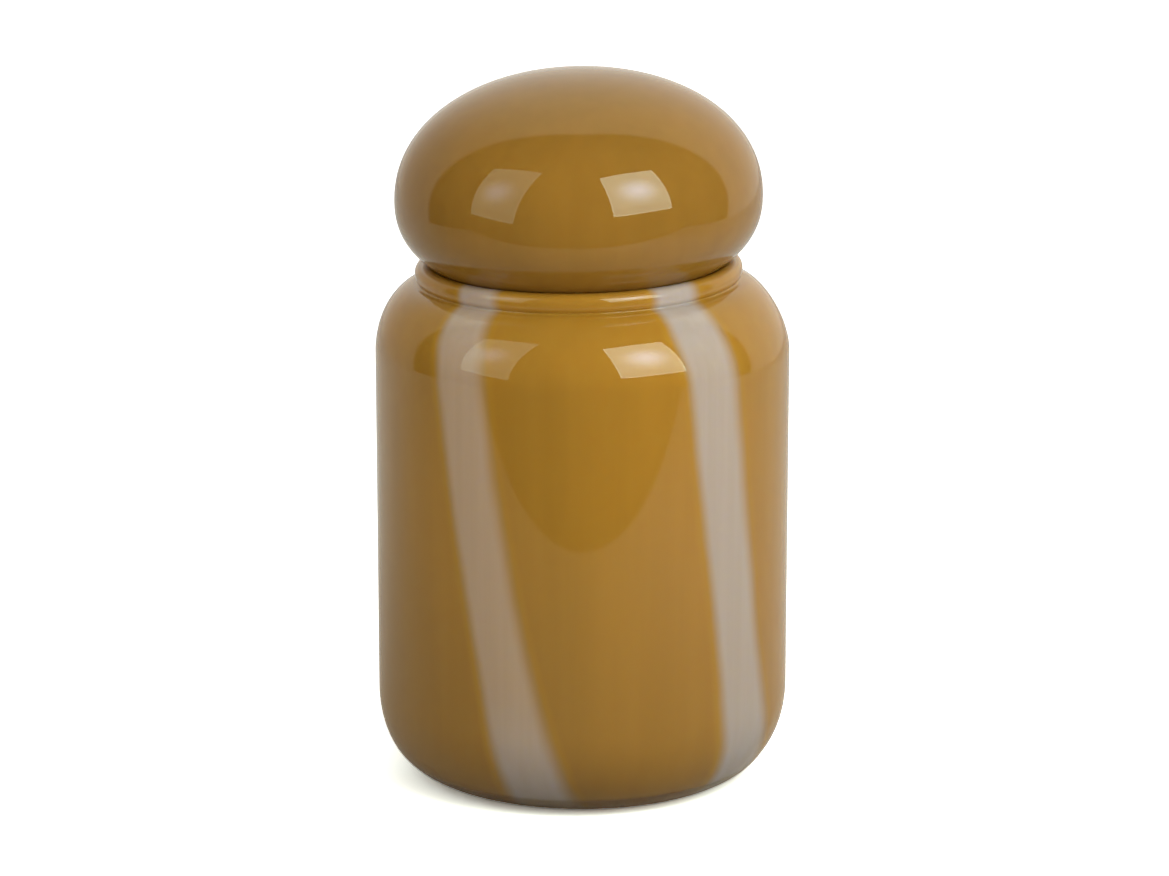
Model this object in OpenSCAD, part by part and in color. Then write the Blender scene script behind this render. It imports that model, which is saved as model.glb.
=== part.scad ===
// Hand-blown storage jar with a loose bun-shaped lid.
// The jar is cased glass: a thin amber skin with five white canes let into it, over a white opal
// lining, standing on a thick clear gather. The lid is a hollow bubble of the same amber and opal.
// The jar stands on z = 0 with its axis on Z, and the lid is drawn where it rests.

/* [Jar] */
// Outside radius of the straight wall
jar_r = 60; // [56:1:64]
// Height at which the wall ends and the shoulder starts
wall_top_z = 126.5; // [112:0.5:132]
// How far the rounded bottom corner reaches in from the wall
corner_w = 21; // [17:0.5:24]
// Height of the rounded bottom corner
corner_h = 26.5; // [22:0.5:30]
// Squareness of the bottom corner, where 2 is an ellipse
corner_fullness = 2.15; // [1.8:0.05:2.6]
// Squareness of the shoulder, where 2 is an ellipse
shoulder_fullness = 1.77; // [1.6:0.01:2.4]

/* [Rim] */
// Radius from the jar's axis to the middle of the rolled rim
rim_r = 44.4; // [44.4:0.1:46]
// Height of the middle of the rolled rim
rim_z = 149.5; // [147:0.5:149.5]
// Radius of the rolled rim's own round section
bead_r = 2.9; // [2.4:0.1:2.9]

/* [Lid] */
// Radius of the lid where it is widest
lid_r = 53; // [51:0.5:53]
// Height at which the lid is widest
lid_mid_z = 171; // [171:0.5:175]
// Height of the crown above the widest part
crown_h = 36.4; // [30:0.2:42]
// Depth of the underside, if it ran on to the axis
underside_h = 28.5; // [24:0.5:28.5]
// Squareness of the crown, where 2 is an ellipse
crown_fullness = 2.11; // [1.8:0.01:2.5]
// Squareness of the underside, where 2 is an ellipse
underside_fullness = 2.27; // [1.9:0.01:2.27]
// How far the lid's open collar hangs below the middle of the rim
collar_drop = 13.5; // [6:0.5:18]
// Gap all round between the collar and the mouth
mouth_gap = 1; // [0.6:0.1:2]

/* [Glass layers] */
// Thickness of the amber skin
amber_t = 1; // [0.6:0.1:1.4]
// Thickness of the white opal lining under it
opal_t = 2.5; // [1.5:0.1:3]
// Thickness of the clear gather under the middle of the jar
clear_t = 4.5; // [3:0.5:6]
// Thickness of the clear gather at its upper edge
clear_edge_t = 0.4; // [0.3:0.1:0.5]
// How far down round the bottom corner that edge lies, where 0 is the wall and 90 is the foot
gather_angle = 50; // [40:1:60]
// Inner radius of the flat ring that the jar stands on
foot_r = 34; // [28:1:35]
// Depth of the shallow hollow inside that ring
punt_h = 1.5; // [0.5:0.5:2]

/* [Stripes] */
// Width of each white cane
stripe_w = 17; // [10:1:20]
// Lean of the canes from upright
stripe_lean = 8.8; // [0:0.2:10]
// Turn of the first cane about the axis, at mid height
stripe_turn = -27.6; // [-180:0.1:180]
// Distance from the axis at which the canes start under the floor
stripe_start_r = 20; // [19:1:26]

/* [Hidden] */
$fn = 96;
STRIPE_COUNT = 5;
JAR_NODES = ["clear_base", "amber_jar_skin", "opal_jar_lining"];
STRIPE_NODES = [for (i = [1:STRIPE_COUNT]) str("white_stripe_", i)];
LID_NODES = ["amber_lid_skin", "opal_lid_lining"];

CURVE_STEPS = 16;
PUNT_STEPS = 4;
BEAD_STEPS = 24;
BEAD_START = -60; // angle round the bead at which the shoulder runs into it
BEAD_END = 180;   // angle round the bead at which the mouth's straight side starts

wall_t = amber_t + opal_t;
floor_z = clear_t + wall_t;
mouth_r = rim_r - bead_r;
crease_r = rim_r + bead_r * cos(BEAD_START);
crease_z = rim_z + bead_r * sin(BEAD_START);
shoulder_h = crease_z - wall_top_z;
collar_r = mouth_r - mouth_gap;
collar_z = rim_z - collar_drop;
stripe_mid_z = rim_z / 2;
stripe_over = 10; // how far the cutting slabs run past the jar

// ---- outlines, as [radius, height] points ----

// A stretch of a rounded corner w wide and h high about (r, z), between two angles
function rounded(r, z, w, h, fullness, from, to) = [
    for (i = [0:CURVE_STEPS])
        let (a = from + (to - from) * i / CURVE_STEPS)
            [r + w * pow(cos(a), 2 / fullness), z + h * sign(a) * pow(abs(sin(a)), 2 / fullness)]
];

// A point of the jar's outside, at an angle round the bottom corner: 0 on the wall and 90 on the foot
function corner_point(a) = [
    jar_r - corner_w + corner_w * pow(cos(a), 2 / corner_fullness),
    corner_h - corner_h * pow(sin(a), 2 / corner_fullness)
];

// The direction into the glass there
function corner_inward(a) =
    let (power = 2 - 2 / corner_fullness, n = [-pow(cos(a), power) / corner_w, pow(sin(a), power) / corner_h])
        n / norm(n);

// How much thicker the clear gather is there than at its edge
function gather_spread(a) =
    max(0, (clear_t - clear_edge_t) * (a - gather_angle) / (90 - gather_angle));

// The bottom corner at a depth in the glass, which follows the gather's inside where gathered is 1
function bottom_corner(from, to, depth, gathered) = [
    for (i = [0:CURVE_STEPS])
        let (a = from + (to - from) * i / CURVE_STEPS)
            corner_point(a) + (depth + gathered * gather_spread(a)) * corner_inward(a)
];

// The shoulder at a depth below the outside, ending over the radius end_r
function shoulder(depth, end_r) =
    rounded(end_r, wall_top_z, jar_r - depth - end_r, shoulder_h - depth, shoulder_fullness, 0, 90);

// The rolled rim's section, with its radius reduced by depth
function bead(depth) = [
    for (i = [0:BEAD_STEPS])
        let (a = BEAD_START + (BEAD_END - BEAD_START) * i / BEAD_STEPS)
            [rim_r + (bead_r - depth) * cos(a), rim_z + (bead_r - depth) * sin(a)]
];

// The underside of the foot, from the axis out to the flat ring
function punt() = [
    for (i = [0:PUNT_STEPS])
        let (part = i / PUNT_STEPS) [foot_r * part, punt_h * (1 - part * part)]
];

// Outside of the amber skin, its inside, and the inside of the opal lining, each from the axis to the rim
gather_inside = concat([[0, clear_t]], bottom_corner(90, gather_angle, clear_edge_t, 1));
amber_outside = concat(gather_inside, bottom_corner(gather_angle, 0, 0, 0), shoulder(0, crease_r), bead(0));
amber_inside = concat([[0, clear_t - clear_edge_t + amber_t]], bottom_corner(90, 0, amber_t, 1),
    shoulder(amber_t, crease_r), bead(amber_t));
opal_inside = concat([[0, floor_z]],
    rounded(jar_r - corner_w, corner_h, corner_w - wall_t, corner_h - floor_z, corner_fullness, -90, 0),
    shoulder(wall_t, mouth_r), [[mouth_r, rim_z]]);

// Angle at which the lid's underside, at a depth below its outside, meets the collar
function underside_end(depth) =
    -acos(pow((collar_r - depth) / (lid_r - depth), underside_fullness / 2));

// The lid's surface at a depth below its outside, from the top of the crown to the collar's lower edge
function lid_surface(depth) = concat(
    rounded(0, lid_mid_z, lid_r - depth, crown_h - depth, crown_fullness, 90, 0),
    rounded(0, lid_mid_z, lid_r - depth, underside_h - depth, underside_fullness,
        underside_end(depth) / CURVE_STEPS, underside_end(depth)),
    [[collar_r - depth, collar_z]]
);

function backwards(points) = [for (i = [len(points) - 1:-1:0]) points[i]];

// ---- jar ----

// The amber layer before the canes are let in
module amber_layer() {
    rotate_extrude() polygon(concat(amber_outside, backwards(amber_inside)));
}

// A flat leaning slab that marks out cane number i
module stripe_slab(i) {
    rotate([0, 0, stripe_turn + (i - 1) * 360 / STRIPE_COUNT])
        translate([0, 0, stripe_mid_z])
            rotate([0, -stripe_lean, 0])
                translate([-stripe_w / 2, -jar_r - stripe_over, -rim_z / 2 - stripe_over])
                    cube([stripe_w, jar_r + stripe_over - stripe_start_r, rim_z + 2 * stripe_over]);
}

module clear_base() {
    color([0.86, 0.85, 0.82, 0.5])
        rotate_extrude()
            polygon(concat(punt(), bottom_corner(90, gather_angle, 0, 0), backwards(gather_inside)));
}

module amber_jar_skin() {
    color([0.63, 0.44, 0.15])
        difference() {
            amber_layer();
            for (i = [1:STRIPE_COUNT]) stripe_slab(i);
        }
}

module opal_jar_lining() {
    color([0.93, 0.92, 0.88])
        rotate_extrude() polygon(concat(amber_inside, backwards(opal_inside)));
}

module white_stripe(i) {
    color([0.72, 0.65, 0.57])
        intersection() {
            amber_layer();
            stripe_slab(i);
        }
}

// ---- lid ----

module amber_lid_skin() {
    color([0.63, 0.44, 0.15])
        rotate_extrude() polygon(concat(lid_surface(0), backwards(lid_surface(amber_t))));
}

module opal_lid_lining() {
    color([0.93, 0.92, 0.88])
        rotate_extrude() polygon(concat(lid_surface(amber_t), backwards(lid_surface(wall_t))));
}

clear_base();
amber_jar_skin();
opal_jar_lining();
for (i = [1:STRIPE_COUNT])
    white_stripe(i);
amber_lid_skin();
opal_lid_lining();
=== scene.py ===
"""Looks of a hand-blown amber glass storage jar with white canes and a bun-shaped lid.

Every piece is a layer of glass, turned as a smooth closed shell from the outlines of the CAD model,
then bent by the small unevenness of hand-blown glass. Lengths are in metres.
"""
import math
from typing import NamedTuple

import bpy
import numpy as np
from mathutils import Euler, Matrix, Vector


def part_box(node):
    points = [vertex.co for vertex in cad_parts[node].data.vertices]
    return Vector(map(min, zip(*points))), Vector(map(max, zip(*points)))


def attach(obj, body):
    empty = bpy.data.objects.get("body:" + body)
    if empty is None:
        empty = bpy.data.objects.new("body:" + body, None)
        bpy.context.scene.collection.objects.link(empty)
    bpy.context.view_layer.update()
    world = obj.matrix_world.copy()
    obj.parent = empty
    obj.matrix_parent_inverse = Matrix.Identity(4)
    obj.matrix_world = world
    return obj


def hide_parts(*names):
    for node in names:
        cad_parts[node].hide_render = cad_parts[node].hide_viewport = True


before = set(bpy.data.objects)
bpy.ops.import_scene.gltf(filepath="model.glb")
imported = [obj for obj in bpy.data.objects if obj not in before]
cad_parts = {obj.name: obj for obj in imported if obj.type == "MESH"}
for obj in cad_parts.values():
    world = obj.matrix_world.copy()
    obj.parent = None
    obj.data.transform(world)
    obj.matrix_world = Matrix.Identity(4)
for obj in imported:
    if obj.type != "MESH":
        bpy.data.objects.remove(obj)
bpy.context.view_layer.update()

MM = 0.001
TURN = 2 * math.pi

# ---- sizes: the large ones come from the frame, and most others repeat the CAD model's dimensions ----

JAR_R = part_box("amber_jar_skin")[1].x
RIM_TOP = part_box("amber_jar_skin")[1].z
LID_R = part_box("amber_lid_skin")[1].x
LID_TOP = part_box("amber_lid_skin")[1].z
COLLAR_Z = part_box("amber_lid_skin")[0].z

CORNER_W = 21 * MM
CORNER_H = 26.5 * MM
CORNER_FULLNESS = 2.15
WALL_TOP_Z = 126.5 * MM
SHOULDER_FULLNESS = 1.77
BEAD_R = 2.9 * MM
RIM_R = 44.4 * MM
RIM_Z = RIM_TOP - BEAD_R
BEAD_FULLNESS = 2.35
BEAD_START = -60                  # degrees from its outermost point, growing towards its top
BEAD_END = 180

LID_MID_Z = 171 * MM
CROWN_FULLNESS = 2.11
UNDERSIDE_H = 28.5 * MM
UNDERSIDE_FULLNESS = 2.27
MOUTH_GAP = 1 * MM

AMBER_T = 1 * MM
OPAL_T = 2.5 * MM
CLEAR_T = 4.5 * MM
FOOT_R = 34 * MM
PUNT_H = 1.5 * MM
GATHER_ANGLE = math.radians(50)   # where the clear gather feathers out round the bottom corner
GATHER_POWER = 0.8                # how quickly it thickens from there
GATHER_FEATHER = math.radians(3)  # how far its edge runs out over the coloured layer
FUSED = 0.1 * MM                  # how far the clear gather sinks into the coloured layer

CANE_START_R = 20 * MM            # the canes start this far from the middle of the foot
CANE_MID_Z = 75 * MM              # the height at which each cane's azimuth is given

WALL_T = AMBER_T + OPAL_T
MOUTH_R = RIM_R - BEAD_R
CREASE_R = RIM_R + BEAD_R * math.cos(math.radians(BEAD_START)) ** (2 / BEAD_FULLNESS)
CREASE_Z = RIM_Z - BEAD_R * math.sin(-math.radians(BEAD_START)) ** (2 / BEAD_FULLNESS)
SHOULDER_H = CREASE_Z - WALL_TOP_Z
COLLAR_R = MOUTH_R - MOUTH_GAP
CROWN_H = LID_TOP - LID_MID_Z
FLOOR_Z = CLEAR_T + WALL_T

# How many steps draw each stretch of an outline.
FOOT_STEPS = 16
CORNER_STEPS = 50
WALL_STEPS = 44
SHOULDER_STEPS = 60
BEAD_STEPS = 48
GROOVE_STEPS = 16
GROOVE_DROPS = (6, 5)             # points of the shoulder and the bead that the groove's curve replaces
INSIDE_FLOOR_STEPS = 8
INSIDE_CURVE_STEPS = 28
INSIDE_WALL_STEPS = 30
INSIDE_MOUTH_STEPS = 4
PUNT_STEPS = 12
GATHER_STEPS = 44
CROWN_STEPS = 72
UNDERSIDE_STEPS = 40
COLLAR_STEPS = 8


# ---- outlines: arrays of [radius, height] ----

def outline(*parts):
    """One outline from several, each an array or a list of points."""
    return np.concatenate([np.asarray(part, float).reshape(-1, 2) for part in parts])


def power(x, p):
    return np.abs(x) ** p


def rounded(r, z, w, h, fullness, start, end, steps):
    """A stretch of a rounded corner w wide and h high about (r, z), between two angles in degrees."""
    a = np.radians(np.linspace(start, end, steps + 1))
    return np.stack([r + w * np.sign(np.cos(a)) * power(np.cos(a), 2 / fullness),
                     z + h * np.sign(a) * power(np.sin(a), 2 / fullness)], 1)


def corner(a):
    """The jar's outside round its bottom corner, from 0 on the wall to a right angle on the foot."""
    return np.stack([JAR_R - CORNER_W + CORNER_W * power(np.cos(a), 2 / CORNER_FULLNESS),
                     CORNER_H - CORNER_H * power(np.sin(a), 2 / CORNER_FULLNESS)], 1)


def corner_inward(a):
    """Unit directions into the glass at those points."""
    n = np.stack([-power(np.cos(a), 2 - 2 / CORNER_FULLNESS) / CORNER_W,
                  power(np.sin(a), 2 - 2 / CORNER_FULLNESS) / CORNER_H], 1)
    return n / np.linalg.norm(n, axis=1)[:, None]


def gather_depth(a):
    """Thickness of the clear gather over the coloured layer."""
    share = np.clip((a - GATHER_ANGLE) / (math.pi / 2 - GATHER_ANGLE), 0, 1)
    return CLEAR_T * share ** GATHER_POWER


def straight(r0, z0, r1, z1, steps):
    """Points between two ends, without the ends themselves."""
    t = np.linspace(0, 1, steps + 1)[1:-1]
    return np.stack([r0 + (r1 - r0) * t, z0 + (z1 - z0) * t], 1)


def shoulder(depth, end_r, steps):
    """The shoulder's surface at a depth in the glass, from the wall in to a radius."""
    w, h = JAR_R - depth - end_r, SHOULDER_H - depth
    return rounded(end_r, WALL_TOP_Z, w, h, SHOULDER_FULLNESS, 0, 90, steps)


def bead(depth, steps):
    """The rolled bead of the rim, from the crease over its top to the mouth."""
    size = BEAD_R - depth
    return rounded(RIM_R, RIM_Z, size, size, BEAD_FULLNESS, BEAD_START, BEAD_END, steps)


def filleted(below, above, drop_below, drop_above, steps):
    """Two stretches that meet in a corner, joined instead by a curve that replaces a few points of each."""
    start, end, pivot = below[-1 - drop_below], above[drop_above], below[-1]
    t = np.linspace(0, 1, steps + 1)[1:-1, None]
    curve = (1 - t) ** 2 * start + 2 * t * (1 - t) * pivot + t ** 2 * end
    return outline(below[:-drop_below], curve, above[drop_above:])


def jar_skin_outline(depth):
    """The coloured layer's outside, or a surface at a depth below it, from the axis to the mouth."""
    a = np.radians(np.linspace(90, 0, CORNER_STEPS + 1))
    low = corner(a) + (gather_depth(a) + depth)[:, None] * corner_inward(a)
    floor = straight(0, low[0, 1], low[0, 0], low[0, 1], FOOT_STEPS)
    side_r = JAR_R - depth
    side = straight(side_r, CORNER_H, side_r, WALL_TOP_Z, WALL_STEPS)
    below, above = shoulder(depth, CREASE_R, SHOULDER_STEPS), bead(depth, BEAD_STEPS)
    neck = filleted(below, above, *GROOVE_DROPS, GROOVE_STEPS)
    return outline([[0, low[0, 1]]], floor, low, side, neck)


def jar_inside_outline():
    """The inside of the opal lining, from the axis to the mouth."""
    w, h = CORNER_W - WALL_T, CORNER_H - FLOOR_Z
    low = rounded(JAR_R - CORNER_W, CORNER_H, w, h, CORNER_FULLNESS, -90, 0, INSIDE_CURVE_STEPS)
    floor = straight(0, FLOOR_Z, low[0, 0], FLOOR_Z, INSIDE_FLOOR_STEPS)
    side_r = JAR_R - WALL_T
    side = straight(side_r, CORNER_H, side_r, WALL_TOP_Z, INSIDE_WALL_STEPS)
    top = shoulder(WALL_T, MOUTH_R, INSIDE_CURVE_STEPS)
    mouth = straight(MOUTH_R, WALL_TOP_Z + SHOULDER_H - WALL_T, MOUTH_R, RIM_Z, INSIDE_MOUTH_STEPS)
    return outline([[0, FLOOR_Z]], floor, low, side, top, mouth, [[MOUTH_R, RIM_Z]])


def clear_outline():
    """The clear gather's section: out over the foot, up the corner, and back under the coloured layer."""
    r = np.linspace(0, FOOT_R, PUNT_STEPS + 1)
    punt = np.stack([r, PUNT_H * (1 - (r / FOOT_R) ** 2)], 1)
    a = np.linspace(math.pi / 2, GATHER_ANGLE - GATHER_FEATHER, GATHER_STEPS + 1)
    sunk = np.clip((GATHER_ANGLE - a) / GATHER_FEATHER, 0, 1) * FUSED
    outer = corner(a) + sunk[:, None] * corner_inward(a)
    inner = corner(a) + (gather_depth(a) + FUSED)[:, None] * corner_inward(a)
    return outline(punt, outer, inner[::-1][1:], [[0, inner[0, 1]]])


def underside_end(depth):
    """The angle in degrees at which the lid's underside meets its collar."""
    return -math.degrees(math.acos(((COLLAR_R - depth) / (LID_R - depth)) ** (UNDERSIDE_FULLNESS / 2)))


def lid_outline(depth):
    """The lid's outside, or a surface at a depth below it, from the crown to the collar's lower edge."""
    crown = rounded(0, LID_MID_Z, LID_R - depth, CROWN_H - depth, CROWN_FULLNESS, 90, 0, CROWN_STEPS)
    end = underside_end(depth)
    under = rounded(0, LID_MID_Z, LID_R - depth, UNDERSIDE_H - depth, UNDERSIDE_FULLNESS,
                    end / UNDERSIDE_STEPS, end, UNDERSIDE_STEPS - 1)
    r, z = under[-1]
    return outline(crown, under, straight(r, z, r, COLLAR_Z, COLLAR_STEPS), [[r, COLLAR_Z]])


# ---- the unevenness of hand-blown glass ----

def smoothstep(lo, hi, x):
    t = np.clip((x - lo) / (hi - lo), 0, 1)
    return t * t * (3 - 2 * t)


RIM_SLOPE = 0.016                 # rise of the neck and lid per length towards +X
CORNER_SLOPE = 0.012              # the same for the bottom corner
CORNER_SLOPE_FULL_Z = 10 * MM     # the corner's slope is whole from here up to the top of the corner
CORNER_SLOPE_TOP_Z = 60 * MM      # and gone here
NECK_NOD = 0.025                  # rise of the neck and lid per length towards +Y
NECK_SHIFT = 1.1 * MM
LID_SINK = 0.15 * MM


def jar_blown(p):
    """The neck sits a little to -X and slopes down that way and to the front. The corner slopes to -X too."""
    x, y, z = p[..., 0], p[..., 1], p[..., 2]
    top = smoothstep(WALL_TOP_Z, CREASE_Z, z)
    low = smoothstep(0, CORNER_SLOPE_FULL_Z, z) * (1 - smoothstep(CORNER_H, CORNER_SLOPE_TOP_Z, z))
    slope = RIM_SLOPE * top + CORNER_SLOPE * low
    return np.stack([x - NECK_SHIFT * top, y, z + slope * x + NECK_NOD * top * y], -1)


def lid_blown(p):
    """The lid rests on the neck and slopes with it."""
    x, y, z = p[..., 0], p[..., 1], p[..., 2]
    return np.stack([x - NECK_SHIFT, y, z + RIM_SLOPE * x + NECK_NOD * y - LID_SINK], -1)


# ---- meshes ----

COLUMNS = 256                     # round each turned shell
SHARP_ANGLE = math.radians(35)    # edges sharper than this aren't smoothed
TINY = 1e-15                      # keeps a division from failing
POINT_SIZE = 1e-12                # a normal shorter than this is of cells that shrink to a point


def turned(points, azimuth):
    """Grid of points: each outline point carried round the axis to its row of azimuths, 0 at -Y."""
    r, z = points[:, :1], points[:, 1:]
    return np.stack([r * np.sin(azimuth), -r * np.cos(azimuth), z + 0 * azimuth], -1)


def grid_normals(grid):
    """Unit normals of a grid whose columns close on themselves."""
    along = np.gradient(grid, axis=0)
    around = np.roll(grid, -1, 1) - np.roll(grid, 1, 1)
    n = np.cross(around, along)
    length = np.linalg.norm(n, axis=-1, keepdims=True)
    n = n / np.maximum(length, TINY)
    for row, near in ((0, 1), (-1, -2)):
        shrunk = length[row, :, 0] < POINT_SIZE
        mean = n[near].mean(0)
        n[row, shrunk] = mean / np.linalg.norm(mean)
    return n


def new_object(name, verts, faces, mat):
    mesh = bpy.data.meshes.new(name)
    mesh.from_pydata([tuple(v) for v in verts], [], faces)
    mesh.materials.append(mat)
    mesh.update()
    obj = bpy.data.objects.new(name, mesh)
    bpy.context.scene.collection.objects.link(obj)
    return obj


def revolve(name, points, bend, mat):
    """A closed shell turned from an outline that starts and ends on the axis."""
    azimuth = np.tile(np.arange(COLUMNS) * TURN / COLUMNS, (len(points) - 2, 1))
    middle = bend(turned(points[1:-1], azimuth))
    poles = bend(np.array([[0, 0, points[0, 1]], [0, 0, points[-1, 1]]]))
    verts = np.concatenate([middle.reshape(-1, 3), poles])
    first, last = len(verts) - 2, len(verts) - 1
    rows = len(points) - 2
    end = (rows - 1) * COLUMNS
    faces = []
    for j in range(COLUMNS):
        k = (j + 1) % COLUMNS
        faces.append((first, k, j))
        faces.append((last, end + j, end + k))
        for here in range(0, end, COLUMNS):
            after = here + COLUMNS
            faces.append((here + j, here + k, after + k, after + j))
    obj = new_object(name, verts, faces, mat)
    obj.data.shade_smooth()
    obj.data.set_sharp_from_angle(angle=SHARP_ANGLE)
    return obj


def shell(name, outer, inner, cells, across, mat):
    """A closed shell made of the chosen cells of two matching grids, with the grids' own normals on its two
    sides. across holds the UV coordinates of each cell's left and right side."""
    rows, columns = outer.shape[:2]
    grids = (outer, inner)
    normals = (grid_normals(outer), -grid_normals(inner))
    index, verts = {}, []

    def vertex(side, i, j):
        key = (side, i, j if i else 0)
        if key not in index:
            index[key] = len(verts)
            verts.append(tuple(grids[side][i, j % columns]))
        return index[key]

    faces, loop_normals, loop_uvs = [], [], []

    def add(corners, flat=False):
        """A face with its corners as (side, row, column, uv) in order. A corner that repeats a vertex is
        dropped. A flat face, on the shell's rim, takes its own normal."""
        ids, kept = [], []
        for c in corners:
            v = vertex(c[0], c[1], c[2] % columns)
            if v not in ids:
                ids.append(v)
                kept.append(c)
        if len(ids) < 3:
            return
        faces.append(ids)
        if flat:
            a, b, c = (Vector(verts[v]) for v in ids[:3])
            loop_normals.extend([tuple((b - a).cross(c - a).normalized())] * len(ids))
        else:
            loop_normals.extend(tuple(normals[side][i, j % columns]) for side, i, j, _ in kept)
        loop_uvs.extend(uv for _, _, _, uv in kept)

    for i, j in zip(*np.nonzero(cells)):
        left, right = across[i, j]
        left_up, right_up = across[min(i + 1, rows - 2), j]
        k = j + 1
        out, out_right, out_right_up, out_up = [
            (0, i, j, left), (0, i, k, right), (0, i + 1, k, right_up), (0, i + 1, j, left_up)]
        deep, deep_right, deep_right_up, deep_up = [
            (1, i, j, left), (1, i, k, right), (1, i + 1, k, right_up), (1, i + 1, j, left_up)]
        add([out, out_right, out_right_up, out_up])
        add([deep_up, deep_right_up, deep_right, deep])
        if not cells[i, (j - 1) % columns]:
            add([deep, out, out_up, deep_up], flat=True)
        if not cells[i, k % columns]:
            add([out_right, deep_right, deep_right_up, out_right_up], flat=True)
        if i and not cells[i - 1, j]:
            add([deep, deep_right, out_right, out], flat=True)
        if i + 1 == rows - 1 or not cells[i + 1, j]:
            add([out_up, out_right_up, deep_right_up, deep_up], flat=True)
    obj = new_object(name, verts, faces, mat)
    obj.data.shade_smooth()
    obj.data.normals_split_custom_set(loop_normals)
    layer = obj.data.uv_layers.new(name="cane")
    layer.data.foreach_set("uv", np.array(loop_uvs, np.float32).ravel())
    return obj


# ---- the canes' layout on the skin ----

CANE_COLUMNS = 14                 # mesh columns across each cane
FIELD_COLUMNS = 40                # and across the amber between two canes
NECK_PINCH = 0.15                 # how much narrower a cane is at the neck
FOOT_TOP_Z = 55 * MM              # a cane starts to widen here on the way down
FOOT_WIDE_Z = 5 * MM              # and is widest from here
CANE_MOST = 0.45                  # the most that half a cane takes up near the axis, in radians


class Cane(NamedTuple):
    """One white cane let into the amber. Angles are in degrees, with azimuth 0 towards -Y."""
    azimuth: float   # where it is at mid height
    lean: float      # degrees that it turns per mm on the way up
    bow: float       # degrees per square mm that it bends aside towards its ends
    half_w: float    # half its width on the wall, in metres
    spread: float    # how much wider it is at the foot
    coolness: float  # 0 where its white is warm, 1 where it is cool


CANES = (
    Cane(azimuth=-27.2, lean=-0.176, bow=6e-4, half_w=8.1 * MM, spread=0.2, coolness=0.15),
    Cane(azimuth=44.8, lean=-0.136, bow=2.5e-4, half_w=8.9 * MM, spread=0.3, coolness=0.95),
    Cane(azimuth=116, lean=-0.15, bow=3e-4, half_w=8.5 * MM, spread=0.25, coolness=0.5),
    Cane(azimuth=188, lean=-0.16, bow=1e-4, half_w=8.0 * MM, spread=0.3, coolness=0.3),
    Cane(azimuth=260.5, lean=-0.14, bow=4e-4, half_w=8.7 * MM, spread=0.2, coolness=0.7),
)


def cane_middle(cane, z):
    """The azimuth of a cane's middle at a height."""
    h = (z - CANE_MID_Z) / MM
    return np.radians(cane.azimuth + cane.lean * h + cane.bow * h ** 2)


def cane_half_width(cane, r, z):
    """Half width as an azimuth. Canes spread on the bottom corner and are drawn in at the neck."""
    neck = smoothstep(CREASE_Z - SHOULDER_H / 2, RIM_Z, z)
    foot = 1 - smoothstep(FOOT_WIDE_Z, FOOT_TOP_Z, z)
    half = cane.half_w * (1 - NECK_PINCH * neck + cane.spread * foot)
    return np.minimum(half / np.maximum(r, half), CANE_MOST)


def skin_layout(points):
    """For each outline point, the azimuths of the columns; for each column, the cane it is in, or -1; and for
    each cell, the UV coordinates of its two sides."""
    middles = [cane_middle(cane, points[:, 1]) for cane in CANES]
    halves = [cane_half_width(cane, *points.T) for cane in CANES]
    azimuth, owner, across = [], [], []

    def column(left, right, k, middle, half):
        azimuth.append(left)
        sides = (np.stack([left, right], -1) - middle[:, None]) / half[:, None]
        across.append(np.stack([sides, np.full_like(sides, CANES[k].coolness)], -1))

    for k, (here, half_here) in enumerate(zip(middles, halves)):
        after = (k + 1) % len(CANES)
        there = middles[after] if after else middles[0] + TURN
        half_there = halves[after]
        cane_edges = here + half_here * np.linspace(-1, 1, CANE_COLUMNS + 1)[:, None]
        for left, right in zip(cane_edges, cane_edges[1:]):
            column(left, right, k, here, half_here)
            owner.append(k)
        share = np.linspace(0, 1, FIELD_COLUMNS + 1)[:, None]
        field_edges = (here + half_here) * (1 - share) + (there - half_there) * share
        for c, (left, right) in enumerate(zip(field_edges, field_edges[1:])):
            nearer = (k, here, half_here) if c < FIELD_COLUMNS // 2 else (after, there, half_there)
            column(left, right, *nearer)
            owner.append(-1)
    return np.stack(azimuth, 1), np.array(owner), np.stack(across, 1)


# ---- materials ----

AMBER = (0.355, 0.1695, 0.0198)
# painted shade: the jar's amber, darkened for the lid
SHADED_LID_AMBER = (0.268, 0.1265, 0.0178)
GOLD_FRINGE = (0.408, 0.2, 0.0192)
WARM_CANE = (0.443, 0.288, 0.176)
COOL_CANE = (0.41, 0.322, 0.269)
# the canes' paler, more neutral white, which at the neck is a painted reflection
PALE_CANE = (0.379, 0.343, 0.349)
OPAL = (0.79, 0.73, 0.69)
CLEAR_TINT = (0.93, 0.91, 0.87)
UNTINTED = (1.0, 1.0, 1.0)
GLASS_IOR = 1.5
GLASS_ROUGHNESS = 0.03
DEPTH_WEIGHT = 0.5
DEPTH_RADIUS = (1.0, 0.6, 0.2)
DEPTH_SCALE = 2.5 * MM

# Noise scales are (across, across, up) in cycles per metre. Each pair of tints multiplies a colour where the
# noise is low and where it is high.
SOFT_DETAIL = 2.0
FINE_DETAIL = 3.0
NOISE_ENDS = (0.3, 0.7)
DRIFT_SCALE = (22, 22, 9)
DRIFT_TINTS = ((0.94, 0.95, 0.98), (1.05, 1.04, 1.0))
STREAK_SCALE = (170, 170, 9)
STREAK_TINTS = ((0.975, 0.97, 0.95), (1.02, 1.02, 1.03))
VEIN_SCALE = (300, 300, 8)
VEIN_TINTS = ((0.98, 0.975, 0.965), (1.02, 1.02, 1.03))
OPAL_SCALE = (40, 40, 25)
OPAL_TINTS = ((0.97, 0.97, 0.97), UNTINTED)
FOOT_SHADE_TINT = (0.9, 0.9, 1.0)        # painted shade: the amber is darkened towards the foot
FOOT_SHADE_TOP_Z = 85 * MM

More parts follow.
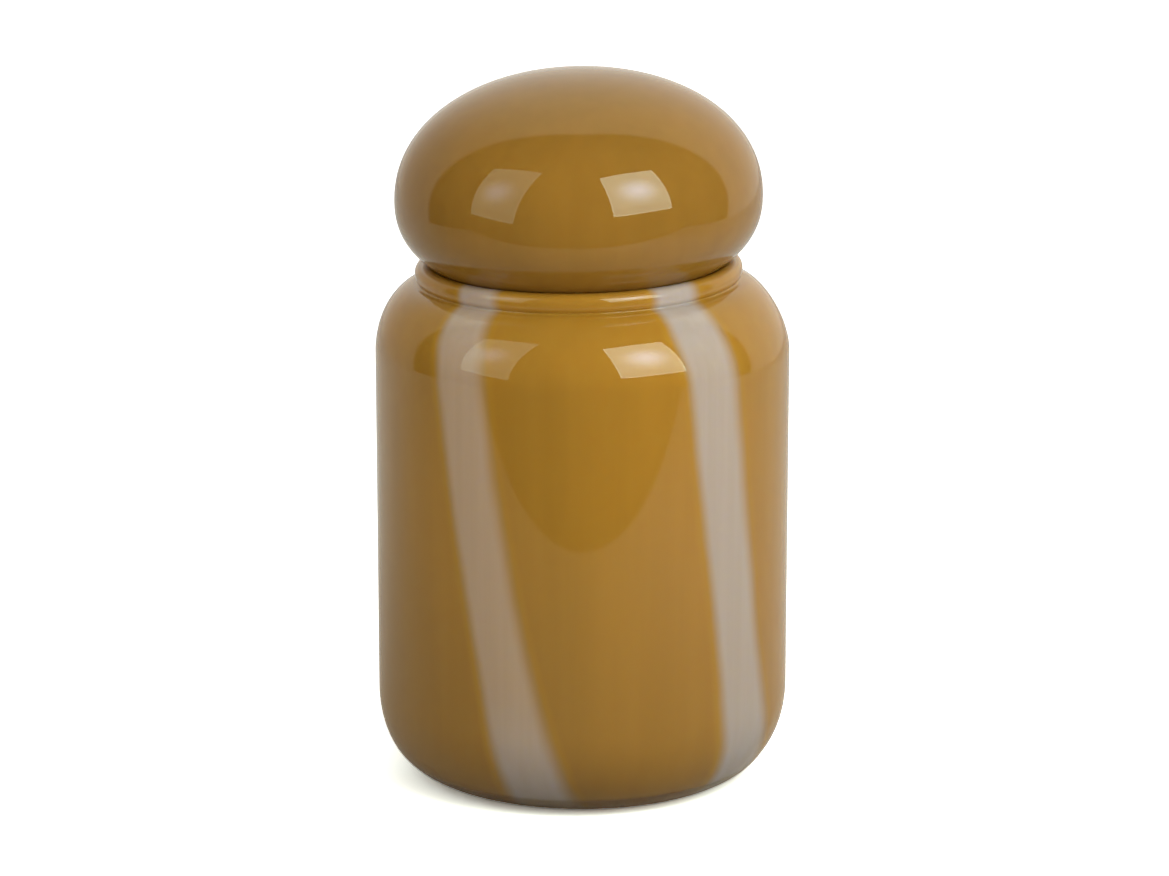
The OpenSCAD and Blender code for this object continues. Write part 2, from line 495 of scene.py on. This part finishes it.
# Humps across a cane, whose sides are at -1 and 1: where each rises, where it falls, and its height.
WHITE_HUMP = ((-1.22, -0.70), (0.50, 1.20), 1.0)
FRINGE_HUMPS = (((-1.42, -1.15), (-1.0, -0.8), 0.6), ((0.85, 1.1), (1.15, 1.4), 0.3))
WANDER_SCALE = (90, 90, 45)
WANDER = 0.16                     # how far the noise moves the canes' edges

# Where the canes turn paler and more neutral: towards the foot, and at the neck as a painted reflection of
# the white above. The heights that it fades over, and how far it goes at its two ends.
PALE_FOOT = (4 * MM, 45 * MM, 0.6, 0.0)
NECK_PAINTED_REFLECTION = (125 * MM, 150 * MM, 0.0, 0.35)


def add_node(tree, kind, inputs, settings):
    """A node whose inputs are numbers, colours, or the sockets that feed them."""
    node = tree.nodes.new(kind)
    for key, value in settings.items():
        setattr(node, key, value)
    for key, value in (inputs or {}).items():
        if isinstance(value, bpy.types.NodeSocket):
            tree.links.new(value, node.inputs[key])
        else:
            node.inputs[key].default_value = value
    return node


def material(name):
    """A new node material: its node tree, its Principled shader and a helper that adds nodes."""
    mat = bpy.data.materials.new(name)
    mat.use_nodes = True
    tree = mat.node_tree
    shader = tree.nodes["Principled BSDF"]
    shader.inputs["IOR"].default_value = GLASS_IOR
    shader.inputs["Roughness"].default_value = GLASS_ROUGHNESS

    def add(kind, inputs=None, **settings):
        return add_node(tree, kind, inputs, settings)

    return mat, tree, shader, add


def fade(add, source, lo, hi, low=0.0, high=1.0):
    """low to high, smoothly, as source goes from lo to hi."""
    ends = {"Value": source, "From Min": lo, "From Max": hi, "To Min": low, "To Max": high}
    return add("ShaderNodeMapRange", ends, interpolation_type="SMOOTHSTEP").outputs["Result"]


def calc(add, operation, a, b=0.0):
    return add("ShaderNodeMath", {0: a, 1: b}, operation=operation).outputs["Value"]


def hump(add, source, rise, fall, top):
    """top between two slopes, and 0 outside them."""
    return calc(add, "MULTIPLY", fade(add, source, *rise), fade(add, source, *fall, top, 0.0))


def blend_colour(add, factor, a, b, blend_type="MIX"):
    node = add("ShaderNodeMix", data_type="RGBA", blend_type=blend_type)
    for key, value in (("Factor", factor), ("A", a), ("B", b)):
        kind = "VALUE" if key == "Factor" else "RGBA"
        socket = next(i for i in node.inputs if i.name == key and i.type == kind)
        if isinstance(value, bpy.types.NodeSocket):
            node.id_data.links.new(value, socket)
        else:
            socket.default_value = value if key == "Factor" else (*value, 1)
    return next(o for o in node.outputs if o.type == "RGBA")


def multiplied(add, a, b):
    return blend_colour(add, 1.0, a, b, "MULTIPLY")


def noise(add, scale, detail=SOFT_DETAIL):
    """Soft noise in the object's own space."""
    spot = add("ShaderNodeTexCoord").outputs["Object"]
    stretched = add("ShaderNodeMapping", {"Vector": spot, "Scale": scale}).outputs["Vector"]
    return add("ShaderNodeTexNoise", {"Vector": stretched, "Scale": 1.0, "Detail": detail}).outputs["Fac"]


def mottled(add, scale, low, high, detail=SOFT_DETAIL):
    """A blend of two colours, from low to high as the noise goes."""
    return blend_colour(add, fade(add, noise(add, scale, detail), *NOISE_ENDS), low, high)


def parts_of(add, vector):
    """The X, Y and Z outputs of a vector."""
    return add("ShaderNodeSeparateXYZ", {"Vector": vector}).outputs


def object_height(add):
    return parts_of(add, add("ShaderNodeTexCoord").outputs["Object"])["Z"]


def tinted(colour, tints):
    """A colour multiplied by each tint."""
    return [tuple(c * k for c, k in zip(colour, tint)) for tint in tints]


def amber_colour(add, colour):
    """Amber glass: broad drifts of thicker and thinner colour, fine streaks drawn up the wall, and painted
    shade that darkens it towards the foot.
    """
    base = mottled(add, DRIFT_SCALE, *tinted(colour, DRIFT_TINTS))
    streaks = mottled(add, STREAK_SCALE, *STREAK_TINTS, FINE_DETAIL)
    # painted shade: the amber is darker towards the foot
    low = blend_colour(add, fade(add, object_height(add), 0.0, FOOT_SHADE_TOP_Z), FOOT_SHADE_TINT, UNTINTED)
    return multiplied(add, multiplied(add, base, streaks), low)


def jar_colour(add):
    """The amber, and the white canes let into it. The UV map runs across each cane from -1 to 1 and past it,
    and its other axis says how cool the cane's white is."""
    amber = amber_colour(add, AMBER)
    across = parts_of(add, add("ShaderNodeUVMap", uv_map="cane").outputs["UV"])
    wander = calc(add, "MULTIPLY", calc(add, "SUBTRACT", noise(add, WANDER_SCALE), 0.5), WANDER)
    u = calc(add, "ADD", across["X"], wander)
    white = hump(add, u, *WHITE_HUMP)
    fringe = calc(add, "ADD", *(hump(add, u, *one) for one in FRINGE_HUMPS))
    z = object_height(add)
    # paler canes towards the foot, and a painted reflection of the white above at the neck
    paleness_and_reflection = calc(add, "ADD", fade(add, z, *PALE_FOOT), fade(add, z, *NECK_PAINTED_REFLECTION))
    whole = blend_colour(add, across["Y"], WARM_CANE, COOL_CANE)
    veins = mottled(add, VEIN_SCALE, *VEIN_TINTS, FINE_DETAIL)
    cane = multiplied(add, blend_colour(add, paleness_and_reflection, whole, PALE_CANE), veins)
    gold = blend_colour(add, fringe, amber, GOLD_FRINGE)
    return blend_colour(add, white, gold, cane)


def coloured_glass(name, colour_of):
    """Glossy glass with a little depth. colour_of makes its colour's nodes from the helper that adds them."""
    mat, tree, shader, add = material(name)
    tree.links.new(colour_of(add), shader.inputs["Base Color"])
    shader.inputs["Subsurface Weight"].default_value = DEPTH_WEIGHT
    shader.inputs["Subsurface Radius"].default_value = DEPTH_RADIUS
    shader.inputs["Subsurface Scale"].default_value = DEPTH_SCALE
    return mat


def opal_material(name):
    return coloured_glass(name, lambda add: mottled(add, OPAL_SCALE, *tinted(OPAL, OPAL_TINTS)))


def clear_material(name):
    """Clear glass that lets direct light through to what lies under it."""
    mat, tree, shader, add = material(name)
    shader.inputs["Base Color"].default_value = (*CLEAR_TINT, 1)
    shader.inputs["Roughness"].default_value = 0.0
    shader.inputs["Transmission Weight"].default_value = 1.0
    open_way = add("ShaderNodeBsdfTransparent", {"Color": (*CLEAR_TINT, 1)}).outputs["BSDF"]
    shadow = add("ShaderNodeLightPath").outputs["Is Shadow Ray"]
    mix = add("ShaderNodeMixShader", {0: shadow, 1: shader.outputs["BSDF"], 2: open_way}).outputs["Shader"]
    tree.links.new(mix, tree.nodes["Material Output"].inputs["Surface"])
    return mat


# ---- the jar and the lid ----

def stand_in(obj, node, body):
    """An object replaces a CAD node and rides on its body."""
    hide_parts(node)
    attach(obj, body)


def make_jar():
    outside, under_skin = jar_skin_outline(0), jar_skin_outline(AMBER_T)
    azimuth, owner, across = skin_layout(outside)
    outer = jar_blown(turned(outside, azimuth))
    inner = jar_blown(turned(under_skin, azimuth))
    rows = len(outside) - 1
    beyond_start = (outside[:-1, 0] >= CANE_START_R)[:, None]
    cane_cells = beyond_start & (owner >= 0)[None, :]
    amber = coloured_glass("amber_glass", jar_colour)
    white = coloured_glass("white_cane_glass", jar_colour)
    skin = shell("amber_skin", outer, inner, ~cane_cells, across[:rows], amber)
    stand_in(skin, "amber_jar_skin", "jar")
    for k in range(len(CANES)):
        mine = beyond_start & (owner == k)[None, :]
        cane = shell(f"cane_{k + 1}", outer, inner, mine, across[:rows], white)
        stand_in(cane, f"white_stripe_{k + 1}", "jar")
    lining_section = outline(under_skin, jar_inside_outline()[::-1])
    lining = revolve("opal_lining", lining_section, jar_blown, opal_material("opal_glass"))
    stand_in(lining, "opal_jar_lining", "jar")
    base = revolve("clear_gather", clear_outline(), jar_blown, clear_material("clear_glass"))
    stand_in(base, "clear_base", "jar")


def make_lid():
    # the lid's amber carries painted shade: it is the jar's amber made darker
    amber = coloured_glass("lid_amber_glass", lambda add: amber_colour(add, SHADED_LID_AMBER))
    skin_section = outline(lid_outline(0), lid_outline(AMBER_T)[::-1])
    skin = revolve("lid_skin", skin_section, lid_blown, amber)
    stand_in(skin, "amber_lid_skin", "lid")
    lining_section = outline(lid_outline(AMBER_T), lid_outline(WALL_T)[::-1])
    lining = revolve("lid_lining", lining_section, lid_blown, opal_material("lid_opal_glass"))
    stand_in(lining, "opal_lid_lining", "lid")


# ---- studio ----

TABLE_FRONT = -0.36
TABLE_HALF_W = 0.9
FLOOR_HALF = 6.0
FLOOR_SEEN = (2.7, 2.7, 2.7)                # the floor's colour to the camera
FLOOR_LENT = (0.18, 0.17, 0.16)             # and in the soft light that it sends back
FLOOR_FRONT_LEFT = (0.68, 0.55, 0.42)       # and in the glass, which mirrors the rest
FLOOR_FRONT_RIGHT = (0.68, 0.62, 0.66)
FLOOR_BACK = (1.0, 0.96, 0.90)
FLOOR_RIGHT_FADE = (0.0, 0.3)               # where along X the front turns from one colour to the other
FLOOR_BACK_FADE = (-0.15, 0.35)             # and where along Y the front turns to the back


def stage_quad(name, corners, mat):
    obj = new_object(name, corners, [(0, 1, 2, 3)], mat)
    return obj


def floor_material():
    """A floor that is white to the camera. What it lends to the glass is dimmer, and warm at the front."""
    mat, tree, shader, add = material("pale_floor")
    tree.nodes.remove(shader)
    spot = parts_of(add, add("ShaderNodeTexCoord").outputs["Object"])
    front = blend_colour(add, fade(add, spot["X"], *FLOOR_RIGHT_FADE), FLOOR_FRONT_LEFT, FLOOR_FRONT_RIGHT)
    mirrored = blend_colour(add, fade(add, spot["Y"], *FLOOR_BACK_FADE), front, FLOOR_BACK)
    rays = add("ShaderNodeLightPath").outputs
    lent = blend_colour(add, rays["Is Diffuse Ray"], mirrored, FLOOR_LENT)
    colour = blend_colour(add, rays["Is Camera Ray"], lent, FLOOR_SEEN)
    mix = add("ShaderNodeBsdfDiffuse", {"Color": colour}).outputs["BSDF"]
    tree.links.new(mix, tree.nodes["Material Output"].inputs["Surface"])
    return mat


def make_floor():
    """A table, and a floor round it that only the camera sees, so that the glass mirrors the table's edge."""
    mat = floor_material()
    x, y, far = TABLE_HALF_W, TABLE_FRONT, FLOOR_HALF
    stage_quad("table", [(-x, y, 0), (x, y, 0), (x, far, 0), (-x, far, 0)], mat)
    around = {
        "floor_front": [(-far, -far, 0), (far, -far, 0), (far, y, 0), (-far, y, 0)],
        "floor_left": [(-far, y, 0), (-x, y, 0), (-x, far, 0), (-far, far, 0)],
        "floor_right": [(x, y, 0), (far, y, 0), (far, far, 0), (x, far, 0)],
    }
    for name, corners in around.items():
        apron = stage_quad(name, corners, mat)
        apron.visible_glossy = False
        apron.visible_diffuse = False
        apron.visible_transmission = False


def direction(azimuth, elevation):
    """A direction from the jar, with azimuth 0 towards the front and growing towards +X, in degrees."""
    a, e = math.radians(azimuth), math.radians(elevation)
    return Vector((math.sin(a) * math.cos(e), -math.cos(a) * math.cos(e), math.sin(e)))


SOFTBOX_AWAY = 0.55                         # how far from the jar
SOFTBOX_AIM = 0.15                          # the height that a softbox faces
SOFTBOX_DIFFUSE = 0.37                      # its strength and colour in soft light
SOFTBOX_WHITE = (0.98, 0.97, 0.96)
SOFTBOX_EDGE_TINT = (0.90, 1.0, 0.78)       # its colours where glass mirrors it
SOFTBOX_CENTRE_TINT = (0.86, 1.0, 1.12)
GLOW_REACH = 0.48                           # how far its bright centre reaches, as a share of its width
HEM = (0.93, 0.965)                         # where its hem starts, as a share of the way out
HEM_BRIGHT = 1.25
BAND = (-0.72, -0.66)                       # where its dim band ends, as a share of the way up
BAND_DIM = 0.88


def softbox_material(name, w, h, edge_power, centre_power):
    mat, tree, shader, add = material(name)
    tree.nodes.remove(shader)
    place = add("ShaderNodeTexCoord").outputs["Object"]
    out = add("ShaderNodeVectorMath", {0: place}, operation="LENGTH").outputs["Value"]
    glow = fade(add, out, 0.0, 2 * w * GLOW_REACH, 1.0, 0.0)
    strength = calc(add, "ADD", calc(add, "MULTIPLY", glow, centre_power - edge_power), edge_power)
    spot = parts_of(add, place)
    across = calc(add, "ABSOLUTE", calc(add, "DIVIDE", spot["X"], w))
    up = calc(add, "DIVIDE", spot["Y"], h)
    hem = fade(add, calc(add, "MAXIMUM", across, calc(add, "ABSOLUTE", up)), *HEM)
    band = fade(add, up, *BAND, BAND_DIM, 1.0)
    pattern = calc(add, "MAXIMUM", band, calc(add, "MULTIPLY", hem, HEM_BRIGHT))
    diffuse = add("ShaderNodeLightPath").outputs["Is Diffuse Ray"]
    mirrored = blend_colour(add, glow, SOFTBOX_EDGE_TINT, SOFTBOX_CENTRE_TINT)
    colour = blend_colour(add, diffuse, mirrored, SOFTBOX_WHITE)
    patterned = calc(add, "MULTIPLY", strength, pattern)
    dimmed = calc(add, "MULTIPLY", patterned, fade(add, diffuse, 0.0, 1.0, 1.0, SOFTBOX_DIFFUSE))
    emission = add("ShaderNodeEmission", {"Color": colour, "Strength": dimmed}).outputs["Emission"]
    tree.links.new(emission, tree.nodes["Material Output"].inputs["Surface"])
    return mat


def softbox(name, azimuth, elevation, width, height, tilt, edge_power, centre_power):
    """A rectangle of light that faces the jar, brighter in the middle and along its hem, and dimmer in a band
    at the bottom. tilt is how far it leans back, turns aside and rolls, in degrees."""
    w, h = width / 2, height / 2
    mat = softbox_material(name, w, h, edge_power, centre_power)
    obj = stage_quad(name, [(-w, -h, 0), (w, -h, 0), (w, h, 0), (-w, h, 0)], mat)
    towards = direction(azimuth, elevation)
    obj.location = Vector((0, 0, SOFTBOX_AIM)) + towards * SOFTBOX_AWAY
    lean, turn, roll = (math.radians(a) for a in tilt)
    own_turn = Euler((lean, turn, roll)).to_quaternion()
    obj.rotation_euler = (towards.to_track_quat("Z", "Y") @ own_turn).to_euler()
    obj.visible_camera = False


# What the glass mirrors of the world, by direction from the jar.
WORLD_HORIZON = (0.95, 0.90, 0.80)
WORLD_OVERHEAD = (1.05, 0.97, 0.70)
WORLD_OVERHEAD_FADE = (0.3, 0.95)
WORLD_LEFT_DIM = (0.68, 0.65, 0.62)
WORLD_LEFT_FADE = (-0.75, -0.1)
WORLD_FRONT = (0.05, 0.05, 0.05)
WORLD_FRONT_EDGE = (0.06, 0.14)             # where along Y the dim front gives way to white
WORLD_FRONT_WIDENS = 0.18                   # how much further back that edge is at the sides

# The even light that it sends: from the horizon, from above, more from +X than from -X, and from behind.
WORLD_LEVEL = 1.2
WORLD_ABOVE = 0.3
WORLD_SIDE = 0.45
WORLD_BACK = 4.0
WORLD_BACK_EDGE = 0.85


def make_world():
    """White behind and above the jar and dim in front, for the glass to mirror, and even light besides."""
    world = bpy.data.worlds.new("studio")
    bpy.context.scene.world = world
    world.use_nodes = True
    tree = world.node_tree
    tree.nodes.clear()

    def add(kind, inputs=None, **settings):
        return add_node(tree, kind, inputs, settings)

    towards = parts_of(add, add("ShaderNodeTexCoord").outputs["Generated"])
    side = calc(add, "MULTIPLY", calc(add, "ABSOLUTE", towards["X"]), WORLD_FRONT_WIDENS)
    behind = fade(add, calc(add, "SUBTRACT", towards["Y"], side), *WORLD_FRONT_EDGE)
    overhead = fade(add, towards["Z"], *WORLD_OVERHEAD_FADE)
    white = blend_colour(add, overhead, WORLD_HORIZON, WORLD_OVERHEAD)
    dimmer = blend_colour(add, fade(add, towards["X"], *WORLD_LEFT_FADE), WORLD_LEFT_DIM, UNTINTED)
    mirrored = blend_colour(add, behind, WORLD_FRONT, multiplied(add, white, dimmer))
    from_above = fade(add, towards["Z"], 0.0, 1.0, WORLD_LEVEL, WORLD_ABOVE)
    from_side = calc(add, "ADD", calc(add, "MULTIPLY", towards["X"], WORLD_SIDE), 1.0)
    from_behind = fade(add, towards["Y"], WORLD_BACK_EDGE, 1.0, 0.0, WORLD_BACK)
    soft = calc(add, "ADD", calc(add, "MULTIPLY", from_above, from_side), from_behind)
    rays = add("ShaderNodeLightPath").outputs
    lit = blend_colour(add, rays["Is Diffuse Ray"], mirrored, soft)
    colour = blend_colour(add, rays["Is Camera Ray"], lit, UNTINTED)
    sky = add("ShaderNodeBackground", {"Color": colour}).outputs["Background"]
    add("ShaderNodeOutputWorld", {"Surface": sky})


CAMERA_DISTANCE = 1.2
CAMERA_ELEVATION = 13.56
CAMERA_AIM = Vector((0.6 * MM, 0, 99.36 * MM))
CAMERA_LENS = 126.8
CAMERA_SENSOR_W = 36


def make_camera():
    data = bpy.data.cameras.new("camera")
    data.lens = CAMERA_LENS
    data.sensor_width = CAMERA_SENSOR_W
    camera = bpy.data.objects.new("camera", data)
    bpy.context.scene.collection.objects.link(camera)
    back = direction(0, CAMERA_ELEVATION)
    camera.location = CAMERA_AIM + back * CAMERA_DISTANCE
    camera.rotation_euler = back.to_track_quat("Z", "Y").to_euler()
    bpy.context.scene.camera = camera


make_jar()
make_lid()
make_floor()
softbox("softbox_right", azimuth=38.3, elevation=32.3, width=0.338, height=0.429, tilt=(22, -9, -1),
        edge_power=5.3, centre_power=10.5)
softbox("softbox_left", azimuth=-54.4, elevation=28.4, width=0.32, height=0.49, tilt=(11, 28, 5),
        edge_power=1.6, centre_power=3.3)
make_world()
make_camera()
bpy.context.scene.view_settings.view_transform = "Standard"
